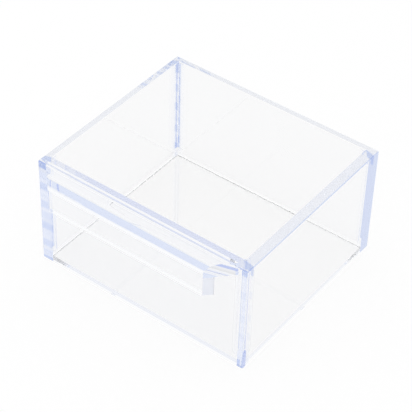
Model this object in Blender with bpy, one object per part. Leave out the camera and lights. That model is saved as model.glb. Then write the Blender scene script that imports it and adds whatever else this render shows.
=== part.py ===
# Open-topped bin of clear acrylic sheet with a pull handle across its front.
# Front of the bin faces -Y, up is +Z. Origin: centre of the underside, without the handle.

import math

import bmesh
import bpy
from mathutils import Matrix, Vector

# Bin, in metres
BIN_WIDTH = 0.146
BIN_DEPTH = 0.128
BIN_HEIGHT = 0.0752
RIM_FALL = 0.0017
WALL_THICKNESS = 0.0055
FLOOR_THICKNESS = 0.0015
CEMENT_GAP = 0.0003
EDGE_RADIUS = 0.0007

# Pull handle: a ledge that stands a little above the rim and a lip that hangs from its front
LEDGE_RISE = 0.0020
LEDGE_THICKNESS = 0.0092
LIP_THICKNESS = 0.0044
HANDLE_REACH = 0.0134
HANDLE_DROP = 0.0218
HANDLE_INSET = 0.0058
END_SLANT_DEGREES = 45.0
BEND_RADIUS = 0.0045

# Beads of cement in the upright inner corners
BEAD_RADIUS = 0.0038
BEAD_FEATHER = 0.0003
BEAD_START = 0.0030
BEAD_END = 0.0012

# Smoothness of the round stretches
EDGE_SEGMENTS = 3
BEND_SEGMENTS = 8
BEAD_SEGMENTS = 8
BEAD_TIP_RINGS = 5
BEAD_TIP_START = 0.3
SMOOTH_BELOW_DEGREES = 35
FLAT_BELOW_DEGREES = 20

# Largest share of a wall that a rounded edge may take, and of the handle that its bend may take
EDGE_SHARE = 0.45
BEND_SHARE = 0.8

# Share by which the slope of the rim runs on past the walls' inner faces before the cut
SLOPE_OVERRUN = 1.5
CLEAR_OF_BIN = 0.15
TOUCHING = 1e-6

CLEAR_COLOUR = (0.94, 0.96, 0.99, 1.0)
HANDLE_COLOUR = (0.93, 0.95, 0.99, 1.0)
CEMENT_COLOUR = (0.90, 0.93, 0.99, 1.0)
CLEAR_ROUGHNESS = 0.03
CEMENT_ROUGHNESS = 0.10
ACRYLIC_IOR = 1.49

half_width = BIN_WIDTH / 2
half_depth = BIN_DEPTH / 2
inner_half_width = half_width - WALL_THICKNESS
inner_half_depth = half_depth - WALL_THICKNESS
outer_rim = BIN_HEIGHT - RIM_FALL
front_face = -half_depth
handle_back = front_face - CEMENT_GAP
lip_front = front_face - HANDLE_REACH
lip_back = lip_front + LIP_THICKNESS
ledge_top = BIN_HEIGHT + LEDGE_RISE
ledge_underside = ledge_top - LEDGE_THICKNESS
lip_bottom = ledge_top - HANDLE_DROP
handle_half_length = half_width - HANDLE_INSET
end_slope = 1 / math.tan(math.radians(END_SLANT_DEGREES))
edge_radius = min(EDGE_RADIUS, WALL_THICKNESS * EDGE_SHARE, LIP_THICKNESS * EDGE_SHARE)
bend_radius = min(BEND_RADIUS, HANDLE_REACH * BEND_SHARE, HANDLE_DROP * BEND_SHARE)


def clear_scene():
    for item in list(bpy.data.objects):
        bpy.data.objects.remove(item, do_unlink=True)


def clear_material(name, colour, roughness):
    material = bpy.data.materials.new(name)
    material.use_nodes = True
    shader = material.node_tree.nodes["Principled BSDF"]
    shader.inputs["Base Color"].default_value = colour
    shader.inputs["Roughness"].default_value = roughness
    shader.inputs["Metallic"].default_value = 0.0
    shader.inputs["IOR"].default_value = ACRYLIC_IOR
    shader.inputs["Transmission Weight"].default_value = 1.0
    return material


def mesh_from(name, working):
    bmesh.ops.recalc_face_normals(working, faces=working.faces)
    mesh = bpy.data.meshes.new(name)
    working.to_mesh(mesh)
    working.free()
    return mesh


def add_object(name, mesh):
    item = bpy.data.objects.new(name, mesh)
    bpy.context.scene.collection.objects.link(item)
    return item


def block_mesh(name, low, high):
    low = Vector(low)
    high = Vector(high)
    working = bmesh.new()
    bmesh.ops.create_cube(working, size=1.0)
    size = Matrix.Diagonal((*(high - low), 1.0))
    bmesh.ops.transform(working, matrix=Matrix.Translation((low + high) / 2) @ size,
                        verts=working.verts)
    return mesh_from(name, working)


def combine(base_mesh, tool_mesh, operation):
    # Runs one Boolean on two meshes and returns the resulting mesh
    base = add_object("combine_base", base_mesh)
    tool = add_object("combine_tool", tool_mesh)
    modifier = base.modifiers.new("combine", "BOOLEAN")
    modifier.operation = operation
    modifier.solver = "EXACT"
    modifier.object = tool
    graph = bpy.context.evaluated_depsgraph_get()
    result = bpy.data.meshes.new_from_object(base.evaluated_get(graph))
    bpy.data.objects.remove(base, do_unlink=True)
    bpy.data.objects.remove(tool, do_unlink=True)
    return result


def arc(centre_y, centre_z, radius, start, end, segments):
    # Points of a round stretch in the YZ plane, angles in degrees
    points = []
    for step in range(segments + 1):
        angle = math.radians(start + (end - start) * step / segments)
        points.append((centre_y + radius * math.cos(angle),
                       centre_z + radius * math.sin(angle)))
    return points


def handle_end_x(y):
    # The slanted ends run in towards the middle as the handle comes forward
    return handle_half_length - (front_face - y) * end_slope


def handle_mesh():
    # Profile of ledge and lip, seen from the side, run from one slanted end to the other
    bend = arc(lip_front + bend_radius, ledge_top - bend_radius, bend_radius,
               90, 180, BEND_SEGMENTS)
    profile = [(handle_back, ledge_top)] + bend
    profile += [(lip_front, lip_bottom), (lip_back, lip_bottom)]
    profile += [(lip_back, ledge_underside), (handle_back, ledge_underside)]
    working = bmesh.new()
    left = [working.verts.new((-handle_end_x(y), y, z)) for y, z in profile]
    right = [working.verts.new((handle_end_x(y), y, z)) for y, z in profile]
    working.faces.new(left)
    working.faces.new(right)
    for index in range(len(profile)):
        after = (index + 1) % len(profile)
        working.faces.new((left[index], left[after], right[after], right[index]))
    return mesh_from("handle_profile", working)


def on_handle_end(corner):
    return abs(abs(corner.x) - handle_end_x(corner.y)) < TOUCHING


def is_outer(corner):
    # True on the lip's front face and on the bend above it
    from_axis_y = corner.y - (lip_front + bend_radius)
    from_axis_z = corner.z - (ledge_top - bend_radius)
    if from_axis_z > 0 and from_axis_y < TOUCHING:
        return abs(math.hypot(from_axis_y, from_axis_z) - bend_radius) < TOUCHING * 10
    return abs(corner.y - lip_front) < TOUCHING


def is_handle_edge(edge):
    # Rounded over: the outer edges of both slanted ends and the lip's lower front edge
    first, second = (corner.co for corner in edge.verts)
    if edge.calc_face_angle(0.0) < math.radians(FLAT_BELOW_DEGREES):
        return False
    on_end = on_handle_end(first) and on_handle_end(second)
    at_top = min(first.z, second.z) > ledge_top - TOUCHING
    if at_top:
        return on_end
    lower_front = max(first.z, second.z) < lip_bottom + TOUCHING
    return is_outer(first) and is_outer(second) and (on_end or lower_front)


def is_bin_edge(edge):
    # Rounded over: the rim's outer edge all round and the four uprights below it
    first, second = (corner.co for corner in edge.verts)
    on_side = max(first.z, second.z) < outer_rim + TOUCHING
    return on_side and max(first.z, second.z) > outer_rim - TOUCHING


def rounded(source, picks_edge, name):
    # Copy of a mesh whose picked edges are rounded over
    working = bmesh.new()
    working.from_mesh(source)
    edges = [edge for edge in working.edges if picks_edge(edge)]
    bmesh.ops.bevel(working, geom=edges, offset=edge_radius, segments=EDGE_SEGMENTS,
                    profile=0.5, affect="EDGES", clamp_overlap=False)
    return mesh_from(name, working)


def rectangle(working, half_x, half_y, height):
    corners = ((-half_x, -half_y), (half_x, -half_y), (half_x, half_y), (-half_x, half_y))
    return [working.verts.new((x, y, height)) for x, y in corners]


def bin_mesh():
    # Block whose top slopes up from the outer rim, past the walls' inner faces.
    # Every panel is cut from it, so slope and rounding run on from piece to piece.
    run = WALL_THICKNESS * SLOPE_OVERRUN
    peak = outer_rim + RIM_FALL * SLOPE_OVERRUN
    working = bmesh.new()
    loops = [rectangle(working, half_width, half_depth, 0),
             rectangle(working, half_width, half_depth, outer_rim),
             rectangle(working, half_width - run, half_depth - run, peak)]
    working.faces.new(loops[0])
    working.faces.new(loops[-1])
    for lower, upper in zip(loops, loops[1:]):
        for index in range(len(lower)):
            after = (index + 1) % len(lower)
            working.faces.new((lower[index], lower[after], upper[after], upper[index]))
    return mesh_from("bin_profile", working)


def cut_piece(name, outline, low, high, material, parent):
    # One piece: the part of the outline between two corners of a block
    block = block_mesh(name + "_block", low, high)
    mesh = combine(outline.copy(), block, "INTERSECT")
    mesh.name = name
    corners = [corner.co for corner in mesh.vertices]
    low_corner = Vector(min(corner[axis] for corner in corners) for axis in range(3))
    high_corner = Vector(max(corner[axis] for corner in corners) for axis in range(3))
    origin = (low_corner + high_corner) / 2
    origin.z = low_corner.z
    mesh.transform(Matrix.Translation(-origin))
    finish_mesh(mesh, material)
    piece = add_object(name, mesh)
    piece.location = origin
    piece.parent = parent
    return piece


def finish_mesh(mesh, material):
    mesh.materials.clear()
    mesh.materials.append(material)
    mesh.shade_smooth()
    mesh.set_sharp_from_angle(angle=math.radians(SMOOTH_BELOW_DEGREES))


def bead_mesh(material):
    # Quarter-hollow bead whose lower end narrows to a round tip.
    # Its back corner is the origin and its two flanks lie along +X and +Y.
    length = BIN_HEIGHT - BEAD_END - FLOOR_THICKNESS - BEAD_START
    hollow = BEAD_RADIUS - BEAD_FEATHER
    section = [(0.0, 0.0), (BEAD_RADIUS, 0.0)]
    section += arc(BEAD_RADIUS, BEAD_RADIUS, hollow, 270, 180, BEAD_SEGMENTS)
    section.append((0.0, BEAD_RADIUS))
    rings = []
    for step in range(BEAD_TIP_RINGS):
        share = (step + BEAD_TIP_START) / BEAD_TIP_RINGS
        rings.append((BEAD_RADIUS * share, math.sqrt(1 - (1 - share) ** 2)))
    rings.append((length, 1.0))
    working = bmesh.new()
    loops = []
    for height, scale in rings:
        loops.append([working.verts.new((x * scale, y * scale, height)) for x, y in section])
    working.faces.new(loops[0])
    working.faces.new(loops[-1])
    for lower, upper in zip(loops, loops[1:]):
        for index in range(len(section)):
            after = (index + 1) % len(section)
            working.faces.new((lower[index], lower[after], upper[after], upper[index]))
    mesh = mesh_from("corner_bead", working)
    finish_mesh(mesh, material)
    return mesh


def add_panels(outline, parent):
    sheet = clear_material("clear_sheet", CLEAR_COLOUR, CLEAR_ROUGHNESS)
    above = BIN_HEIGHT + CLEAR_OF_BIN
    side_reach = inner_half_depth - CEMENT_GAP
    cut_piece("front_panel", outline, (-half_width, front_face, 0),
              (half_width, -inner_half_depth, above), sheet, parent)
    cut_piece("back_panel", outline, (-half_width, inner_half_depth, 0),
              (half_width, half_depth, above), sheet, parent)
    cut_piece("left_panel", outline, (-half_width, -side_reach, 0),
              (-inner_half_width, side_reach, above), sheet, parent)
    cut_piece("right_panel", outline, (inner_half_width, -side_reach, 0),
              (half_width, side_reach, above), sheet, parent)
    floor_half_width = inner_half_width - CEMENT_GAP
    thin_sheet = clear_material("thin_clear_sheet", CLEAR_COLOUR, CLEAR_ROUGHNESS)
    cut_piece("floor_panel", outline, (-floor_half_width, -side_reach, 0),
              (floor_half_width, side_reach, FLOOR_THICKNESS), thin_sheet, parent)


def add_handle(outline, parent):
    strip = clear_material("clear_strip", HANDLE_COLOUR, CLEAR_ROUGHNESS)
    reach = lip_front - CLEAR_OF_BIN
    cut_piece("handle_ledge", outline, (-half_width, reach, ledge_underside),
              (half_width, front_face, ledge_top + CLEAR_OF_BIN), strip, parent)
    cut_piece("handle_lip", outline, (-half_width, reach, lip_bottom - CLEAR_OF_BIN),
              (half_width, front_face, ledge_underside - CEMENT_GAP), strip, parent)


def add_beads(parent):
    cement = clear_material("clear_cement", CEMENT_COLOUR, CEMENT_ROUGHNESS)
    mesh = bead_mesh(cement)
    corner_x = inner_half_width - CEMENT_GAP
    corner_y = inner_half_depth - CEMENT_GAP
    corners = [("front_left", -corner_x, -corner_y, 0), ("front_right", corner_x, -corner_y, 90),
               ("back_right", corner_x, corner_y, 180), ("back_left", -corner_x, corner_y, 270)]
    for place, x, y, turn in corners:
        bead = add_object("corner_bead_" + place, mesh)
        bead.location = (x, y, FLOOR_THICKNESS + BEAD_START)
        bead.rotation_euler = (0, 0, math.radians(turn))
        bead.parent = parent


def build_bin():
    clear_scene()
    centre = add_object("bin_centre", None)
    add_panels(rounded(bin_mesh(), is_bin_edge, "bin_outline"), centre)
    add_handle(rounded(handle_mesh(), is_handle_edge, "handle_outline"), centre)
    add_beads(centre)
    bpy.context.view_layer.update()


build_bin()
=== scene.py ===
import math

import bmesh
import bpy
from mathutils import Matrix, Vector


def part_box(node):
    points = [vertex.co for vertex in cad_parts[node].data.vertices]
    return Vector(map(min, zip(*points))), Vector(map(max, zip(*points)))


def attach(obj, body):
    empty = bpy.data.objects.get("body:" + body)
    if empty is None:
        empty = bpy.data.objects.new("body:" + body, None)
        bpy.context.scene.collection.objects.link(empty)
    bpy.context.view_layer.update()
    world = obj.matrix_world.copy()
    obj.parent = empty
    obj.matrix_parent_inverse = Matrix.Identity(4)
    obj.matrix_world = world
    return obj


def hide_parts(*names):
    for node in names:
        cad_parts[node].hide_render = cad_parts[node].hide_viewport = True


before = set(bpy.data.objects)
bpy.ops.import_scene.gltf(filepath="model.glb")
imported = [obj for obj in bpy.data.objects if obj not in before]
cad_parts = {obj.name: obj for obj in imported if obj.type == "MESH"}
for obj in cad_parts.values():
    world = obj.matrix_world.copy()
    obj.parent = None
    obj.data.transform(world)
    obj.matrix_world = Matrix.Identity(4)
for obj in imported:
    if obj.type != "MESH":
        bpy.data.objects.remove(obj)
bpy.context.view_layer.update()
print("frame loaded:", len(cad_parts), "nodes")

# Sizes read from the frame
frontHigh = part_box("front_panel")[1]
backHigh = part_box("back_panel")[1]
leftLow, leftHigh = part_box("left_panel")
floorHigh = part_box("floor_panel")[1]
ledgeLow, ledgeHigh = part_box("handle_ledge")
lipLow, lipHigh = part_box("handle_lip")
beadLow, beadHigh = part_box("corner_bead_back_left")

halfWidth = frontHigh[0]
halfDepth = backHigh[1]
wall = leftHigh[0] - leftLow[0]
innerHalfWidth = halfWidth - wall
innerHalfDepth = halfDepth - wall
rimTop = backHigh[2]
floorTop = floorHigh[2]
beadWidth = beadHigh[0] - beadLow[0]
beadFoot, beadHead = beadLow[2], beadHigh[2]
touching = 1e-6  # as near as two places that should be the same come out
onCurve = 1e-5  # the same, for a place on a rounded stretch
seam = 0.00002  # air left between two cemented pieces, too thin to see
farAway = 1.0  # well past the bin on every side
alongX, alongY, alongZ = range(3)
creaseDegrees = 30.0  # flatter than this, neighbouring faces shade as one
openFace, clearFilm, cloudedFilm = 0.0, 1.0, 2.0  # how much cement lies on a face


# Mesh helpers
def meshFrom(name, working):
    bmesh.ops.recalc_face_normals(working, faces=working.faces)
    mesh = bpy.data.meshes.new(name)
    working.to_mesh(mesh)
    working.free()
    return mesh


def addObject(name, mesh):
    item = bpy.data.objects.new(name, mesh)
    bpy.context.scene.collection.objects.link(item)
    return item


def blockMesh(name, low, high):
    low, high = Vector(low), Vector(high)
    working = bmesh.new()
    bmesh.ops.create_cube(working, size=1.0)
    placed = Matrix.Translation((low + high) / 2) @ Matrix.Diagonal((*(high - low), 1.0))
    bmesh.ops.transform(working, verts=working.verts, matrix=placed)
    return meshFrom(name, working)


def cutToBlock(outline, block):
    # what the outline and the block have in common
    base, tool = addObject("cutBase", outline), addObject("cutTool", block)
    cut = base.modifiers.new("cut", "BOOLEAN")
    cut.operation, cut.solver, cut.object = "INTERSECT", "EXACT", tool
    evaluated = base.evaluated_get(bpy.context.evaluated_depsgraph_get())
    result = bpy.data.meshes.new_from_object(evaluated)
    for item in (base, tool):
        bpy.data.objects.remove(item, do_unlink=True)
    return result


def arc(centreY, centreZ, radius, start, end, segments):
    # points along part of a circle, from one angle in degrees to another
    points = []
    for step in range(segments + 1):
        angle = math.radians(start + (end - start) * step / segments)
        points.append((centreY + radius * math.cos(angle), centreZ + radius * math.sin(angle)))
    return points


def bridge(working, lower, upper):
    # joins two rings of points with a band of faces
    for index in range(len(lower)):
        after = (index + 1) % len(lower)
        working.faces.new((lower[index], lower[after], upper[after], upper[index]))


def roundEdges(working, picksEdge, radius, segments):
    edges = [edge for edge in working.edges if picksEdge(edge)]
    bmesh.ops.bevel(working, geom=edges, offset=radius, segments=segments,
                    profile=0.5, affect="EDGES", clamp_overlap=False)


def markJoints(mesh, cuts, filmOn):
    # splits the faces along planes, then notes on each face how much cement lies on it
    working = bmesh.new()
    working.from_mesh(mesh)
    for axis, place in cuts:
        normal = Vector((0, 0, 0))
        normal[axis] = 1
        everything = working.verts[:] + working.edges[:] + working.faces[:]
        bmesh.ops.bisect_plane(working, geom=everything, dist=touching,
                               plane_co=normal * place, plane_no=normal)
    joint = working.faces.layers.float.new("joint")
    for face in working.faces:
        face[joint] = filmOn(face.calc_center_median())
    working.to_mesh(mesh)
    working.free()


def finishPiece(name, mesh, material, node, isSawn=None):
    # isSawn picks the faces that are left dull from the saw
    mesh.materials.clear()
    mesh.materials.append(material)
    if isSawn:
        mesh.materials.append(sawnMaterial)
        for face in mesh.polygons:
            face.material_index = 1 if isSawn(face.normal) else 0
    mesh.shade_smooth()
    mesh.set_sharp_from_angle(angle=math.radians(creaseDegrees))
    piece = addObject(name, mesh)
    weighted = piece.modifiers.new("flatFacesStayFlat", "WEIGHTED_NORMAL")
    weighted.keep_sharp = True
    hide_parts(node)
    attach(piece, "root")


# Acrylic: what handling leaves on it, shared by all the clear materials
def addNode(tree, kind, **settings):
    node = tree.nodes.new(kind)
    for key, value in settings.items():
        setattr(node, key, value)
    return node


def setInputs(node, values):
    for key, value in values.items():
        node.inputs[key].default_value = value


handledMarks = {"waveDetail": 1.0, "waveGrain": 0.4,
                "scratchDetail": 2.0, "scratchFrom": 0.68, "scratchTo": 0.78,
                "scratchRuns": (((0.0, 0.5, 0.4), (1.0, 0.02, 1.0)),
                                ((0.7, 0.0, -0.9), (0.03, 1.0, 1.0))),
                "smudgeDetail": 4.0, "smudgeGrain": 0.6, "smudgeBend": 0.8,
                "smudgeFrom": 0.52, "smudgeTo": 0.72}


def makeHandledGroup(marks):
    group = bpy.data.node_groups.new("handledAcrylic", "ShaderNodeTree")
    for name in ("Wave Scale", "Wave Height", "Scratch Scale", "Scratch Share", "Smudge Scale",
                 "Smudge Roughness", "Dust Scale", "Dust Share", "Base Roughness"):
        group.interface.new_socket(name, in_out="INPUT", socket_type="NodeSocketFloat")
    for name in ("Clean Colour", "Dust Colour"):
        group.interface.new_socket(name, in_out="INPUT", socket_type="NodeSocketColor")
    group.interface.new_socket("Colour", in_out="OUTPUT", socket_type="NodeSocketColor")
    for name in ("Roughness", "Height"):
        group.interface.new_socket(name, in_out="OUTPUT", socket_type="NodeSocketFloat")
    link = group.links.new
    given, result = addNode(group, "NodeGroupInput"), addNode(group, "NodeGroupOutput")
    place = addNode(group, "ShaderNodeTexCoord")

    wave = addNode(group, "ShaderNodeTexNoise")  # slow swell left by casting and flame polishing
    setInputs(wave, {"Detail": marks["waveDetail"], "Roughness": marks["waveGrain"]})
    link(place.outputs["Object"], wave.inputs["Vector"])
    link(given.outputs["Wave Scale"], wave.inputs["Scale"])
    waveHeight = addNode(group, "ShaderNodeMath", operation="MULTIPLY")
    link(wave.outputs["Fac"], waveHeight.inputs[0])
    link(given.outputs["Wave Height"], waveHeight.inputs[1])

    scratchShares = []  # two families of hair-fine lines, each a stretched noise
    for turn, stretch in marks["scratchRuns"]:
        along = addNode(group, "ShaderNodeMapping")
        setInputs(along, {"Rotation": turn, "Scale": stretch})
        link(place.outputs["Object"], along.inputs["Vector"])
        line = addNode(group, "ShaderNodeTexNoise")
        setInputs(line, {"Detail": marks["scratchDetail"]})
        link(along.outputs["Vector"], line.inputs["Vector"])
        link(given.outputs["Scratch Scale"], line.inputs["Scale"])
        peak = addNode(group, "ShaderNodeMapRange", interpolation_type="SMOOTHSTEP")
        setInputs(peak, {"From Min": marks["scratchFrom"], "From Max": marks["scratchTo"]})
        link(line.outputs["Fac"], peak.inputs["Value"])
        scratchShares.append(peak.outputs["Result"])
    scratch = addNode(group, "ShaderNodeMath", operation="MAXIMUM")
    link(scratchShares[0], scratch.inputs[0])
    link(scratchShares[1], scratch.inputs[1])
    scratchMask = addNode(group, "ShaderNodeMath", operation="MULTIPLY")
    link(scratch.outputs[0], scratchMask.inputs[0])
    link(given.outputs["Scratch Share"], scratchMask.inputs[1])
    height = addNode(group, "ShaderNodeMath", operation="SUBTRACT")
    link(waveHeight.outputs[0], height.inputs[0])
    link(scratchMask.outputs[0], height.inputs[1])
    link(height.outputs[0], result.inputs["Height"])

    smudge = addNode(group, "ShaderNodeTexNoise")  # patches where fingers have been
    setInputs(smudge, {"Detail": marks["smudgeDetail"], "Roughness": marks["smudgeGrain"],
                       "Distortion": marks["smudgeBend"]})
    link(place.outputs["Object"], smudge.inputs["Vector"])
    link(given.outputs["Smudge Scale"], smudge.inputs["Scale"])
    smudgeShare = addNode(group, "ShaderNodeMapRange", interpolation_type="SMOOTHSTEP")
    setInputs(smudgeShare, {"From Min": marks["smudgeFrom"], "From Max": marks["smudgeTo"]})
    link(smudge.outputs["Fac"], smudgeShare.inputs["Value"])
    hazy = addNode(group, "ShaderNodeMath", operation="MAXIMUM")
    link(smudgeShare.outputs["Result"], hazy.inputs[0])
    link(scratchMask.outputs[0], hazy.inputs[1])
    roughness = addNode(group, "ShaderNodeMath", operation="MULTIPLY_ADD")
    link(hazy.outputs[0], roughness.inputs[0])
    link(given.outputs["Smudge Roughness"], roughness.inputs[1])
    link(given.outputs["Base Roughness"], roughness.inputs[2])
    link(roughness.outputs[0], result.inputs["Roughness"])

    dust = addNode(group, "ShaderNodeTexVoronoi")  # specks of dust
    link(place.outputs["Object"], dust.inputs["Vector"])
    link(given.outputs["Dust Scale"], dust.inputs["Scale"])
    speck = addNode(group, "ShaderNodeMath", operation="LESS_THAN")
    link(dust.outputs["Distance"], speck.inputs[0])
    link(given.outputs["Dust Share"], speck.inputs[1])
    colour = addNode(group, "ShaderNodeMix", data_type="RGBA")
    link(speck.outputs[0], colour.inputs["Factor"])
    link(given.outputs["Clean Colour"], colour.inputs["A"])
    link(given.outputs["Dust Colour"], colour.inputs["B"])
    link(colour.outputs["Result"], result.inputs["Colour"])
    return group


# each sheet's glow colour is painted light: the sheet gives it off, in place of its shading, once
# a ray has turned more often than the depth given with it
clearSheet = {"waveScale": 45.0, "waveHeight": 0.3, "scratchScale": 260.0, "scratchShare": 0.10,
              "smudgeScale": 55.0, "smudgeRoughness": 0.035, "dustScale": 700.0, "dustShare": 0.05,
              "cleanColour": (1.0, 1.0, 1.0, 1.0), "dustColour": (0.93, 0.94, 0.95, 1.0),
              "bump": 0.00004, "baseRoughness": 0.0, "transmission": 1.0,
              "absorbed": (1.0, 0.8, 0.2), "film": (0.83, 0.87, 0.965),
              "paintedEdgeGlow": (0.74, 0.79, 0.92), "paintedGlowDepth": 14}
frontSheet = {**clearSheet, "absorbed": (2.6, 2.1, 0.4), "paintedEdgeGlow": (0.72, 0.77, 0.92)}
ledgeStrip = {**clearSheet, "waveScale": 90.0, "smudgeScale": 90.0, "smudgeRoughness": 0.05,
              "absorbed": (1.4, 1.1, 0.2), "paintedEdgeGlow": (0.80, 0.845, 0.95), "paintedGlowDepth": 7}
lipStrip = {**ledgeStrip, "paintedEdgeGlow": (0.76, 0.81, 0.93), "paintedGlowDepth": 14}
sawnEdge = {**clearSheet, "waveHeight": 0.8, "baseRoughness": 0.35, "transmission": 0.4,
            "cleanColour": (0.95, 0.955, 0.985, 1.0)}
floorSheet = {**clearSheet, "waveScale": 25.0, "scratchShare": 0.2, "dustShare": 0.06,
              "paintedEdgeGlow": (0.89, 0.90, 0.94)}
cement = {**clearSheet, "waveScale": 220.0, "waveHeight": 1.0, "smudgeRoughness": 0.08,
          "cleanColour": (0.985, 0.99, 1.0, 1.0)}
acrylicIor = 1.49


def makeAcrylic(name, chosen, handled):
    material = bpy.data.materials.new(name)
    material.use_nodes = True
    tree = material.node_tree
    shader, output = tree.nodes["Principled BSDF"], tree.nodes["Material Output"]
    link = tree.links.new
    setInputs(shader, {"Metallic": 0.0, "IOR": acrylicIor,
                       "Transmission Weight": chosen["transmission"]})
    wear = addNode(tree, "ShaderNodeGroup", node_tree=handled)
    for label in wear.inputs.keys():  # Wave Scale takes waveScale, and so on
        first, second = label.split()
        wear.inputs[label].default_value = chosen[first.lower() + second]
    bump = addNode(tree, "ShaderNodeBump")
    setInputs(bump, {"Strength": 1.0, "Distance": chosen["bump"]})
    link(wear.outputs["Height"], bump.inputs["Height"])
    link(bump.outputs["Normal"], shader.inputs["Normal"])
    link(wear.outputs["Colour"], shader.inputs["Base Color"])
    link(wear.outputs["Roughness"], shader.inputs["Roughness"])

    # shadow rays reach the floor through the sheet, and cemented faces let light pass unbent,
    # tinted where the film of cement is clouded
    path, joint = addNode(tree, "ShaderNodeLightPath"), addNode(tree, "ShaderNodeAttribute")
    joint.attribute_name = "joint"
    passes = addNode(tree, "ShaderNodeMath", operation="MAXIMUM")
    link(path.outputs["Is Shadow Ray"], passes.inputs[0])
    link(joint.outputs["Fac"], passes.inputs[1])
    clear = addNode(tree, "ShaderNodeBsdfTransparent")
    throughMix = addNode(tree, "ShaderNodeMixShader")
    clouded = addNode(tree, "ShaderNodeMapRange")
    film = addNode(tree, "ShaderNodeMix", data_type="RGBA")
    setInputs(clouded, {"From Min": clearFilm, "From Max": cloudedFilm})
    setInputs(film, {"A": (1.0, 1.0, 1.0, 1.0), "B": (*chosen["film"], 1.0)})
    link(joint.outputs["Fac"], clouded.inputs["Value"])
    link(clouded.outputs["Result"], film.inputs["Factor"])
    link(film.outputs["Result"], clear.inputs["Color"])
    link(passes.outputs[0], throughMix.inputs[0])
    link(shader.outputs[0], throughMix.inputs[1])
    link(clear.outputs[0], throughMix.inputs[2])

    # painted glow: once a ray has turned more times than the set depth, a fixed pale blue emission
    # replaces the sheet's shading; it stands in for light that is reflected to and fro inside the
    # sheet for long, and gives its edges their glow
    paintedGlowOn = addNode(tree, "ShaderNodeMath", operation="GREATER_THAN")
    paintedGlowOn.inputs[1].default_value = chosen["paintedGlowDepth"]
    link(path.outputs["Ray Depth"], paintedGlowOn.inputs[0])
    glow = addNode(tree, "ShaderNodeEmission")
    paintedGlowMix = addNode(tree, "ShaderNodeMixShader")
    setInputs(glow, {"Color": (*chosen["paintedEdgeGlow"], 1.0), "Strength": 1.0})
    link(paintedGlowOn.outputs[0], paintedGlowMix.inputs[0])
    link(throughMix.outputs[0], paintedGlowMix.inputs[1])
    link(glow.outputs[0], paintedGlowMix.inputs[2])
    link(paintedGlowMix.outputs[0], output.inputs["Surface"])

    # red and green fade most on a long way through the sheet, so its edges look blue
    body = addNode(tree, "ShaderNodeVolumeAbsorption")
    densest = max(chosen["absorbed"])
    leftOver = (1 - share / densest for share in chosen["absorbed"])
    setInputs(body, {"Density": densest, "Color": (*leftOver, 1.0)})
    link(body.outputs[0], output.inputs["Volume"])
    return material


handledGroup = makeHandledGroup(handledMarks)
sheetMaterial = makeAcrylic("clearSheet", clearSheet, handledGroup)
frontMaterial = makeAcrylic("frontSheet", frontSheet, handledGroup)
sawnMaterial = makeAcrylic("sawnEdge", sawnEdge, handledGroup)
floorMaterial = makeAcrylic("floorSheet", floorSheet, handledGroup)
ledgeMaterial = makeAcrylic("ledgeStrip", ledgeStrip, handledGroup)
lipMaterial = makeAcrylic("lipStrip", lipStrip, handledGroup)
cementMaterial = makeAcrylic("setCement", cement, handledGroup)
print("materials made")


# Heights between which the front wall and the handle are cemented
bond = {"foot": 0.0707, "head": 0.0735}

# Walls
wallShape = {"rimFall": 0.0017, "outerRounding": 0.0007, "segments": 5, "slopeOverrun": 1.5}
# The cement in the corners is clouded in uneven bands, and fully at the rim
cornerFilm = {"bands": 26, "cloudedAtRim": 3,
              "clouding": (0.2, 0.9, 0.4, 0.1, 0.7, 0.3, 1.0, 0.2, 0.5, 0.8, 0.1), "stride": 5,
              "share": {"front_left": 0.12, "front_right": 0.25, "back_right": 0.0,
                        "back_left": 0.8},
              "shift": {"front_left": 0, "front_right": 4, "back_right": 7, "back_left": 2}}


def rectangle(working, halfX, halfY, height):
    corners = ((-halfX, -halfY), (halfX, -halfY), (halfX, halfY), (-halfX, halfY))
    return [working.verts.new((x, y, height)) for x, y in corners]


def binOutline(chosen):
    # a solid block whose top slopes down to the outer edge, as the rim does
    outerRim = rimTop - chosen["rimFall"]
    run, rise = wall * chosen["slopeOverrun"], chosen["rimFall"] * chosen["slopeOverrun"]
    working = bmesh.new()
    loops = [rectangle(working, halfWidth, halfDepth, 0),
             rectangle(working, halfWidth, halfDepth, outerRim),
             rectangle(working, halfWidth - run, halfDepth - run, outerRim + rise)]
    working.faces.new(loops[0])
    working.faces.new(loops[-1])
    for lower, upper in zip(loops, loops[1:]):
        bridge(working, lower, upper)

    def onOuterRimOrUpright(edge):
        highest = max(corner.co.z for corner in edge.verts)
        return abs(highest - outerRim) < touching

    roundEdges(working, onOuterRimOrUpright, chosen["outerRounding"], chosen["segments"])
    return meshFrom("binOutline", working)


def makeWall(name, outline, low, high, cuts, filmOn):
    mesh = cutToBlock(outline.copy(), blockMesh("wallBlock", low, high))
    markJoints(mesh, cuts, filmOn)
    material = frontMaterial if name == "front" else sheetMaterial
    finishPiece(name + "Wall", mesh, material, name + "_panel")


def cornerFilmAt(corner, height):
    band = int(height / rimTop * cornerFilm["bands"])
    if band >= cornerFilm["bands"] - cornerFilm["cloudedAtRim"]:
        return cloudedFilm
    clouding = cornerFilm["clouding"]
    spot = (band * cornerFilm["stride"] + cornerFilm["shift"][corner]) % len(clouding)
    return clearFilm + cornerFilm["share"][corner] * clouding[spot]


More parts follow.
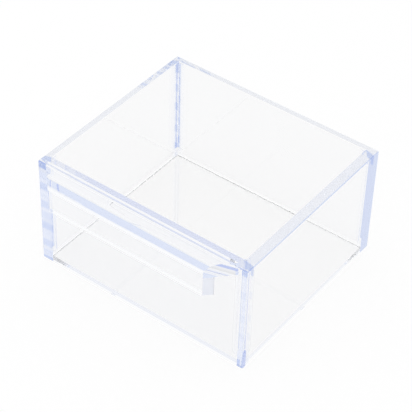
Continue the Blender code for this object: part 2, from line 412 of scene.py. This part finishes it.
def makeWalls(chosen):
    outline = binOutline(chosen)
    beadEdgeX, beadEdgeY = innerHalfWidth - beadWidth, innerHalfDepth - beadWidth
    beadBody = beadFoot + beadWidth
    sideReach = innerHalfDepth - seam

    def underBead(offCentre, beadEdge, height):
        return clearFilm if offCentre > beadEdge and beadBody < height < beadHead else openFace

    def fullWidthFilm(wallName):
        def filmOn(centre):
            if abs(centre.y + halfDepth) < touching:
                behindLedge = centre.z > bond["foot"] and abs(centre.x) < ledgeHigh[0]
                return clearFilm if behindLedge else openFace
            if abs(abs(centre.y) - innerHalfDepth) > touching:
                return openFace
            if abs(centre.x) > innerHalfWidth:
                return cornerFilmAt(wallName + ("_left" if centre.x < 0 else "_right"), centre.z)
            return underBead(abs(centre.x), beadEdgeX, centre.z)
        return filmOn

    def betweenFilm(wallName):
        def filmOn(centre):
            if abs(centre.y) > sideReach - touching:
                return cornerFilmAt(("front_" if centre.y < 0 else "back_") + wallName, centre.z)
            if abs(abs(centre.x) - innerHalfWidth) > touching:
                return openFace
            return underBead(abs(centre.y), beadEdgeY, centre.z)
        return filmOn

    bandEdges = [rimTop * band / cornerFilm["bands"] for band in range(1, cornerFilm["bands"])]
    levels = [(alongZ, height) for height in (beadBody, beadHead, *bandEdges)]
    fullCuts = levels + [(alongZ, bond["foot"])]
    fullCuts += [(alongX, side * edge) for side in (-1, 1)
                 for edge in (innerHalfWidth, beadEdgeX, ledgeHigh[0])]
    betweenCuts = levels + [(alongY, -beadEdgeY), (alongY, beadEdgeY)]
    for name, side in (("front", -1), ("back", 1)):
        low, high = sorted((side * innerHalfDepth, side * halfDepth))
        makeWall(name, outline, (-halfWidth, low, 0), (halfWidth, high, farAway),
                 fullCuts, fullWidthFilm(name))
    for name, side in (("left", -1), ("right", 1)):
        low, high = sorted((side * innerHalfWidth, side * halfWidth))
        makeWall(name, outline, (low, -sideReach, 0), (high, sideReach, farAway),
                 betweenCuts, betweenFilm(name))


makeWalls(wallShape)
print("walls made")


# Floor plate, with its back and left edges dull from the saw
floorShape = {"sawnFrom": 0.5}


def makeFloor(chosen):
    halfX, halfY = innerHalfWidth - seam, innerHalfDepth - seam
    working = bmesh.new()
    loops = [rectangle(working, halfX, halfY, 0), rectangle(working, halfX, halfY, floorTop)]
    working.faces.new(loops[0])
    working.faces.new(loops[-1])
    bridge(working, *loops)
    finishPiece("floorPlate", meshFrom("floorPlate", working), floorMaterial,
                "floor_panel",
                lambda normal: max(normal.y, -normal.x) > chosen["sawnFrom"])


makeFloor(floorShape)
print("floor made")


# Pull handle: a ledge and a lip cut from one profile, with slanted ends
handleShape = {"bendRadius": 0.0065, "underside": 0.0684, "endSlantDegrees": 45.0,
               "edgeRounding": 0.0007, "roundedDegrees": 20.0, "segments": 5, "bendSegments": 24,
               "sawnFrom": 0.6}


def makeHandle(chosen):
    ledgeTop, ledgeUnder, lipBottom = ledgeHigh[2], chosen["underside"], lipLow[2]
    split = ledgeLow[2]
    lipFront, lipBack, back = lipLow[1], lipHigh[1], -halfDepth - seam
    endSlope = 1 / math.tan(math.radians(chosen["endSlantDegrees"]))
    bend = chosen["bendRadius"]

    def endX(y):
        return ledgeHigh[0] - (ledgeHigh[1] - y) * endSlope

    profile = [(back, ledgeTop)]
    profile += arc(lipFront + bend, ledgeTop - bend, bend, 90, 180, chosen["bendSegments"])
    profile += [(lipFront, lipBottom), (lipBack, lipBottom)]
    profile += [(lipBack, ledgeUnder), (back, ledgeUnder)]
    working = bmesh.new()
    left = [working.verts.new((-endX(y), y, z)) for y, z in profile]
    right = [working.verts.new((endX(y), y, z)) for y, z in profile]
    working.faces.new(left)
    working.faces.new(right)
    bridge(working, left, right)

    def isOuter(corner):
        fromAxis = Vector((corner.y - lipFront - bend, corner.z - ledgeTop + bend))
        if fromAxis.y > 0 and fromAxis.x < touching:
            return abs(fromAxis.length - bend) < onCurve
        return abs(corner.y - lipFront) < touching or corner.z > ledgeTop - touching

    def isRounded(edge):
        first, second = (corner.co for corner in edge.verts)
        onEnd = all(abs(abs(corner.x) - endX(corner.y)) < touching for corner in (first, second))
        lowerFront = max(first.z, second.z) < lipBottom + touching
        isSharp = edge.calc_face_angle(0.0) > math.radians(chosen["roundedDegrees"])
        return isSharp and isOuter(first) and isOuter(second) and (onEnd or lowerFront)

    roundEdges(working, isRounded, chosen["edgeRounding"], chosen["segments"])
    outline = meshFrom("handleOutline", working)
    reach = lipFront - farAway
    ledgeBlock = blockMesh("ledgeBlock", (-halfWidth, reach, split), (halfWidth, 0, farAway))
    ledge = cutToBlock(outline.copy(), ledgeBlock)
    lipBlock = blockMesh("lipBlock", (-halfWidth, reach, lipBottom - farAway),
                         (halfWidth, 0, split - seam))
    lip = cutToBlock(outline, lipBlock)

    def ledgeFilm(centre):
        overLip = centre.z < split + touching
        onWall = centre.y > back - touching and bond["foot"] < centre.z < bond["head"]
        return clearFilm if overLip or onWall else openFace

    def lipFilm(centre):
        return clearFilm if centre.z > split - seam - touching else openFace

    markJoints(ledge, [(alongZ, bond["head"]), (alongZ, bond["foot"])], ledgeFilm)
    markJoints(lip, [], lipFilm)
    finishPiece("handleLedge", ledge, ledgeMaterial, "handle_ledge")
    finishPiece("handleLip", lip, lipMaterial, "handle_lip",
                lambda normal: normal.x > chosen["sawnFrom"])


makeHandle(handleShape)
print("handle made")


# Beads of cement in the upright inner corners, with a narrowing tip at the foot
beadShape = {"feather": 0.0003, "hollowSegments": 14, "tipRings": 10, "tipStart": 0.2}


def beadMesh(chosen):
    hollow = beadWidth - chosen["feather"]
    section = [(0.0, 0.0), (beadWidth, 0.0)]
    section += arc(beadWidth, beadWidth, hollow, 270, 180, chosen["hollowSegments"])
    section.append((0.0, beadWidth))
    rings = []
    for step in range(chosen["tipRings"]):
        share = (step + chosen["tipStart"]) / chosen["tipRings"]
        rings.append((beadWidth * share, math.sqrt(1 - (1 - share) ** 2)))
    rings += [(beadWidth, 1.0), (beadHead - beadFoot, 1.0)]
    working = bmesh.new()
    loops = [[working.verts.new((x * scale, y * scale, height)) for x, y in section]
             for height, scale in rings]
    working.faces.new(loops[0])
    working.faces.new(loops[-1])
    for lower, upper in zip(loops, loops[1:]):
        bridge(working, lower, upper)
    mesh = meshFrom("bead", working)

    def filmOn(centre):
        onWall = min(centre.x, centre.y) < touching and centre.z > beadWidth
        return clearFilm if onWall else openFace

    markJoints(mesh, [], filmOn)
    return mesh


def makeBeads(chosen):
    x, y = innerHalfWidth - seam, innerHalfDepth - seam
    for place, spotX, spotY, turn in (("front_left", -x, -y, 0), ("front_right", x, -y, 90),
                                      ("back_right", x, y, 180), ("back_left", -x, y, 270)):
        mesh = beadMesh(chosen)
        turned = Matrix.Rotation(math.radians(turn), 4, "Z")
        mesh.transform(Matrix.Translation((spotX, spotY, beadFoot)) @ turned)
        finishPiece("bead_" + place, mesh, cementMaterial, "corner_bead_" + place)


makeBeads(beadShape)
print("beads made")


# Studio floor, lamp and world
studio = {"floorHalf": 3.0, "floorDrop": 0.0002, "paper": (0.96, 0.96, 0.96, 1.0),
          "glowShare": 0.90, "seenInGlass": 0.958,
          "worldLow": 0.75, "worldHigh": 1.0, "riseEnd": 0.45,
          "lampPower": 0.6, "lampSize": 0.5, "lampPlace": (-0.35, -0.25, 0.8)}


def makeStudio(chosen):
    working = bmesh.new()
    bmesh.ops.create_grid(working, x_segments=1, y_segments=1, size=chosen["floorHalf"])
    floor = addObject("studioFloor", meshFrom("studioFloor", working))
    floor.location.z = -chosen["floorDrop"]
    paper = bpy.data.materials.new("whitePaper")
    paper.use_nodes = True
    tree = paper.node_tree
    link = tree.links.new
    tree.nodes.remove(tree.nodes["Principled BSDF"])
    path, glow = addNode(tree, "ShaderNodeLightPath"), addNode(tree, "ShaderNodeEmission")
    matt, mixed = addNode(tree, "ShaderNodeBsdfDiffuse"), addNode(tree, "ShaderNodeMixShader")
    strength = addNode(tree, "ShaderNodeMapRange")
    setInputs(strength, {"To Min": chosen["seenInGlass"], "To Max": 1.0})
    link(path.outputs["Is Camera Ray"], strength.inputs["Value"])
    link(strength.outputs["Result"], glow.inputs["Strength"])
    setInputs(matt, {"Color": chosen["paper"]})
    setInputs(mixed, {"Fac": chosen["glowShare"]})
    link(matt.outputs[0], mixed.inputs[1])
    link(glow.outputs[0], mixed.inputs[2])
    link(mixed.outputs[0], tree.nodes["Material Output"].inputs["Surface"])
    floor.data.materials.append(paper)

    # the room is white to the camera, and in the sheet a little darker towards the horizon
    world = bpy.data.worlds.new("softRoom")
    world.use_nodes = True
    bpy.context.scene.world = world
    tree = world.node_tree
    link = tree.links.new
    path, place, split = (addNode(tree, kind) for kind in (
        "ShaderNodeLightPath", "ShaderNodeTexCoord", "ShaderNodeSeparateXYZ"))
    rise = addNode(tree, "ShaderNodeMapRange")
    level = addNode(tree, "ShaderNodeMath", operation="MAXIMUM")
    setInputs(rise, {"From Min": 0.0, "From Max": chosen["riseEnd"],
                     "To Min": chosen["worldLow"], "To Max": chosen["worldHigh"]})
    link(place.outputs["Generated"], split.inputs[0])
    link(split.outputs["Z"], rise.inputs["Value"])
    link(rise.outputs["Result"], level.inputs[0])
    link(path.outputs["Is Camera Ray"], level.inputs[1])
    link(level.outputs[0], tree.nodes["Background"].inputs["Strength"])
    tree.nodes["Background"].inputs["Color"].default_value = (1.0, 1.0, 1.0, 1.0)

    lamp = bpy.data.lights.new("softLamp", "AREA")
    lamp.energy, lamp.size = chosen["lampPower"], chosen["lampSize"]
    lampObject = bpy.data.objects.new("softLamp", lamp)
    lampObject.location = chosen["lampPlace"]
    lampObject.rotation_euler = Vector(chosen["lampPlace"]).to_track_quat("Z", "Y").to_euler()
    lampObject.visible_glossy = False
    lampObject.visible_transmission = False
    bpy.context.scene.collection.objects.link(lampObject)


makeStudio(studio)
print("studio made")


# Camera, from the photograph's perspective; angles in degrees, distances in widths of the bin
cameraSet = {"azimuth": 35.82, "elevation": 41.48, "roll": 1.89, "distance": 6.454,
             "aimRight": -0.0024, "aimUp": 0.1816, "focalPixels": 1577.0, "framePixels": 412.0,
             "sensorWidth": 36.0}


def addCamera(chosen):
    azimuth, elevation, roll = (math.radians(chosen[key])
                                for key in ("azimuth", "elevation", "roll"))
    width = 2 * halfWidth
    back = Vector((math.sin(azimuth) * math.cos(elevation),
                   -math.cos(azimuth) * math.cos(elevation), math.sin(elevation)))
    level = Vector((math.cos(azimuth), math.sin(azimuth), 0))
    upright = back.cross(level)
    right = level * math.cos(roll) + upright * math.sin(roll)
    up = upright * math.cos(roll) - level * math.sin(roll)
    place = back * chosen["distance"] + right * chosen["aimRight"] + up * chosen["aimUp"]
    place = place * width
    data = bpy.data.cameras.new("photoCamera")
    data.sensor_width = chosen["sensorWidth"]
    data.lens = chosen["focalPixels"] / chosen["framePixels"] * data.sensor_width
    camera = bpy.data.objects.new("photoCamera", data)
    camera.matrix_world = Matrix(((right.x, up.x, back.x, place.x),
                                  (right.y, up.y, back.y, place.y),
                                  (right.z, up.z, back.z, place.z), (0, 0, 0, 1)))
    bpy.context.scene.collection.objects.link(camera)
    bpy.context.scene.camera = camera


addCamera(cameraSet)
print("camera set")

# Light turns often inside clear sheet, so its path is followed far
lightTurns = {"max_bounces": 48, "transmission_bounces": 48, "glossy_bounces": 24,
              "transparent_max_bounces": 48}
scene = bpy.context.scene
scene.view_settings.view_transform = "Standard"
for kind, turns in lightTurns.items():
    setattr(scene.cycles, kind, turns)
print("view and light turns set")
